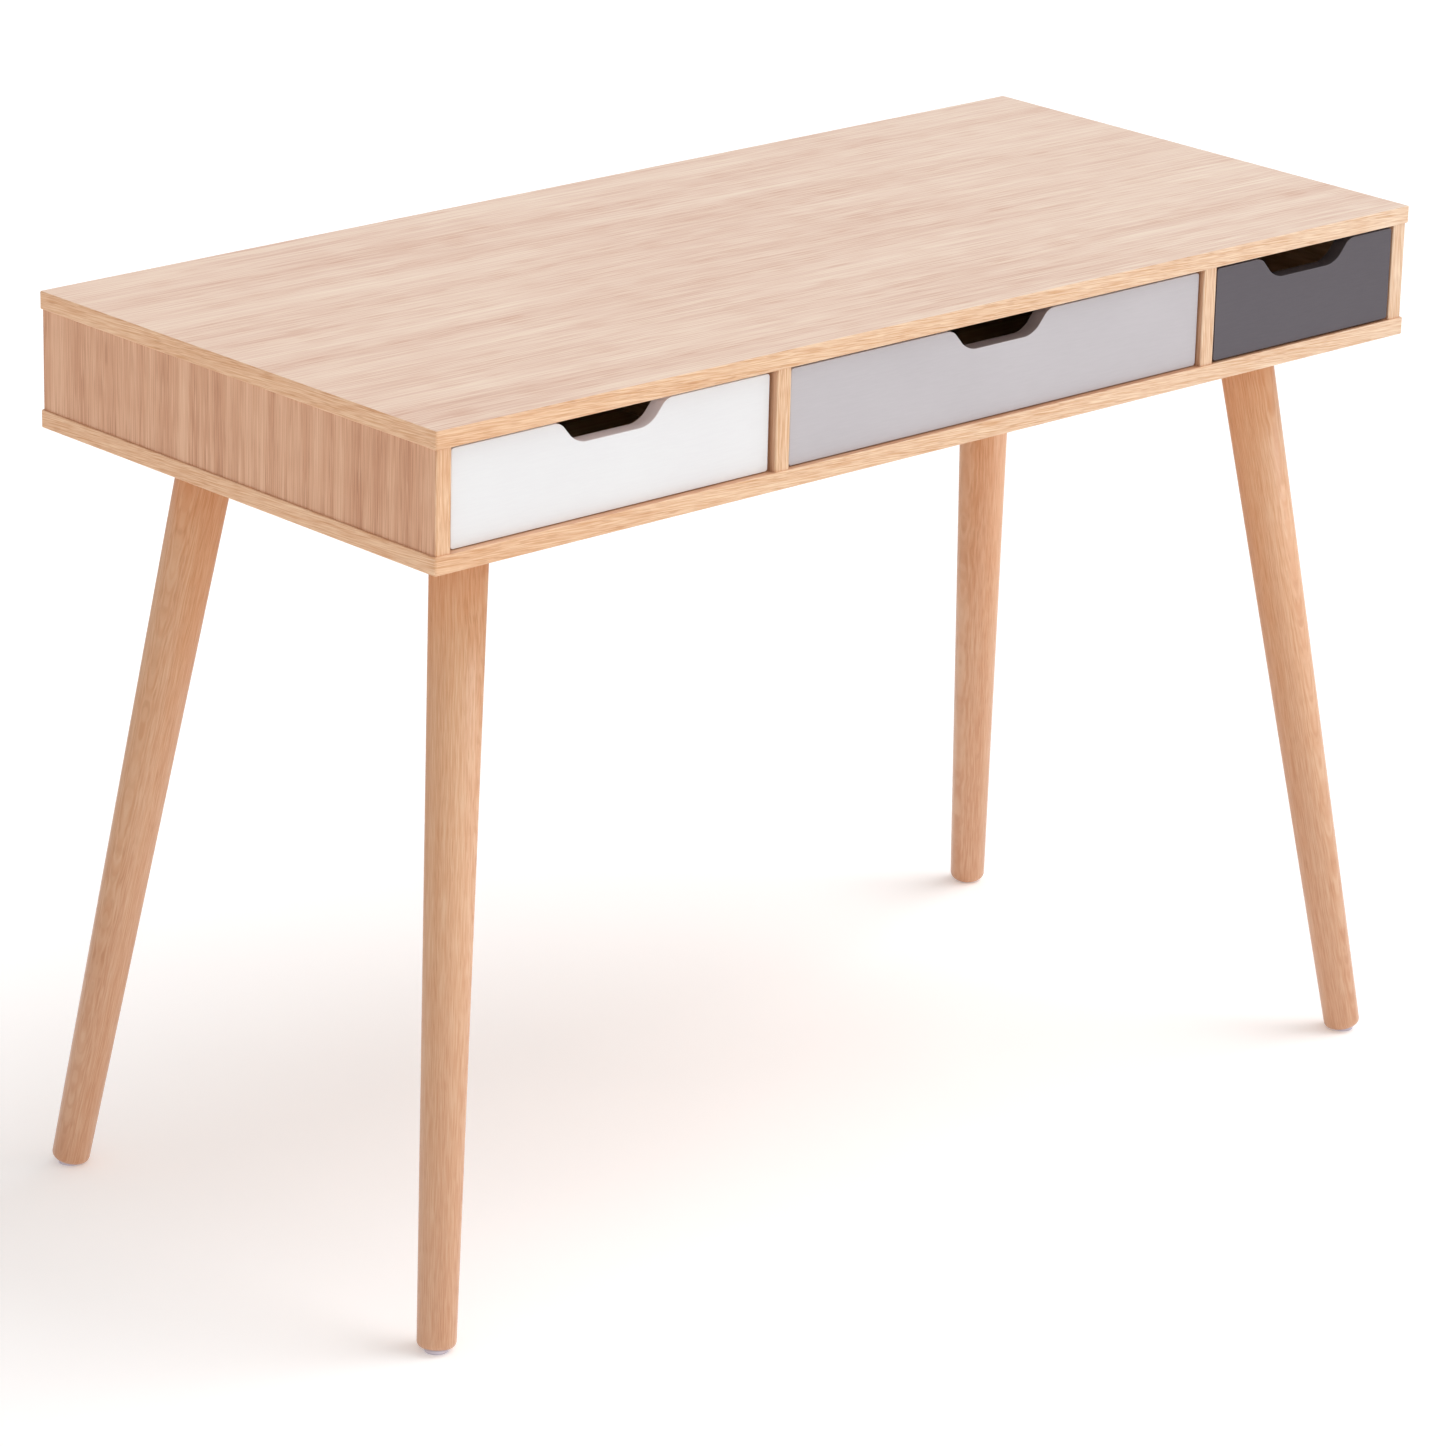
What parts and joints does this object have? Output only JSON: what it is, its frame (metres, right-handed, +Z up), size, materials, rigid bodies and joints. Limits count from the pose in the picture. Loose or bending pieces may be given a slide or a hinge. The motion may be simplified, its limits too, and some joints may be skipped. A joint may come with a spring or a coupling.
{
  "type": "writing desk with drawers",
  "caption": "Writing desk: shallow light-oak case with white, grey and dark drawers that pull out by finger notches, on tapered splayed round wooden legs.",
  "frame": {"origin": "on the floor under the middle of the desk's overall box, which its feet set", "axes": "+X along the desk to the right as seen from the front, -Y the side the drawers open to, +Z up"},
  "size_m": [1.1016, 0.5156, 0.768],
  "materials": {
    "oak_top": "matt light oak laminate",
    "oak_case": "matt light oak laminate",
    "oak_edge": "matt light oak edge band",
    "leg_wood": "clear matt lacquer on solid wood",
    "white_paint": "satin white paint on fibreboard",
    "grey_paint": "satin grey paint on fibreboard",
    "dark_paint": "satin dark grey paint on fibreboard",
    "box_wood": "clear lacquered plywood",
    "box_bottom": "smooth hardboard",
    "dowel_wood": "bare beech",
    "runner_plastic": "satin off-white plastic",
    "glide_plastic": "satin pale plastic",
    "cam_metal": "bright zinc",
    "screw_steel": "zinc plated"
  },
  "bodies": {
    "case": {"top_panel": "oak_top", "top_edge_band": "oak_edge", "bottom_panel": "oak_case", "bottom_edge_band": "oak_edge", "left_side_panel": "oak_case", "left_side_edge_band": "oak_edge", "right_side_panel": "oak_case", "right_side_edge_band": "oak_edge", "left_divider": "oak_case", "left_divider_edge_band": "oak_edge", "right_divider": "oak_case", "right_divider_edge_band": "oak_edge", "back_panel": "oak_case", "front_left_leg": "leg_wood", "front_right_leg": "leg_wood", "rear_left_leg": "leg_wood", "rear_right_leg": "leg_wood", "foot_glides": "glide_plastic", "leg_hanger_bolts": "screw_steel", "leg_inserts": "screw_steel", "leg_dowels": "dowel_wood", "case_cam_locks": "cam_metal", "case_cam_bolts": "screw_steel", "case_dowels": "dowel_wood", "left_bay_runner_left": "runner_plastic", "left_bay_runner_right": "runner_plastic", "middle_bay_runner_left": "runner_plastic", "middle_bay_runner_right": "runner_plastic", "right_bay_runner_left": "runner_plastic", "right_bay_runner_right": "runner_plastic", "runner_screws": "screw_steel"},
    "left_drawer": {"left_drawer_front": "white_paint", "left_drawer_side_left": "box_wood", "left_drawer_side_right": "box_wood", "left_drawer_back": "box_wood", "left_drawer_bottom": "box_bottom", "left_drawer_cam_locks": "cam_metal", "left_drawer_cam_bolts": "screw_steel", "left_drawer_dowels": "dowel_wood", "left_drawer_back_screws": "screw_steel"},
    "middle_drawer": {"middle_drawer_front": "grey_paint", "middle_drawer_side_left": "box_wood", "middle_drawer_side_right": "box_wood", "middle_drawer_back": "box_wood", "middle_drawer_bottom": "box_bottom", "middle_drawer_cam_locks": "cam_metal", "middle_drawer_cam_bolts": "screw_steel", "middle_drawer_dowels": "dowel_wood", "middle_drawer_back_screws": "screw_steel"},
    "right_drawer": {"right_drawer_front": "dark_paint", "right_drawer_side_left": "box_wood", "right_drawer_side_right": "box_wood", "right_drawer_back": "box_wood", "right_drawer_bottom": "box_bottom", "right_drawer_cam_locks": "cam_metal", "right_drawer_cam_bolts": "screw_steel", "right_drawer_dowels": "dowel_wood", "right_drawer_back_screws": "screw_steel"}
  },
  "joints": [
    {"name": "left_drawer_slide", "type": "slide", "parent": "case", "child": "left_drawer", "axis": [0, -1, 0], "range_m": [0, 0.29]},
    {"name": "middle_drawer_slide", "type": "slide", "parent": "case", "child": "middle_drawer", "axis": [0, -1, 0], "range_m": [0, 0.29]},
    {"name": "right_drawer_slide", "type": "slide", "parent": "case", "child": "right_drawer", "axis": [0, -1, 0], "range_m": [0, 0.29]}
  ]
}
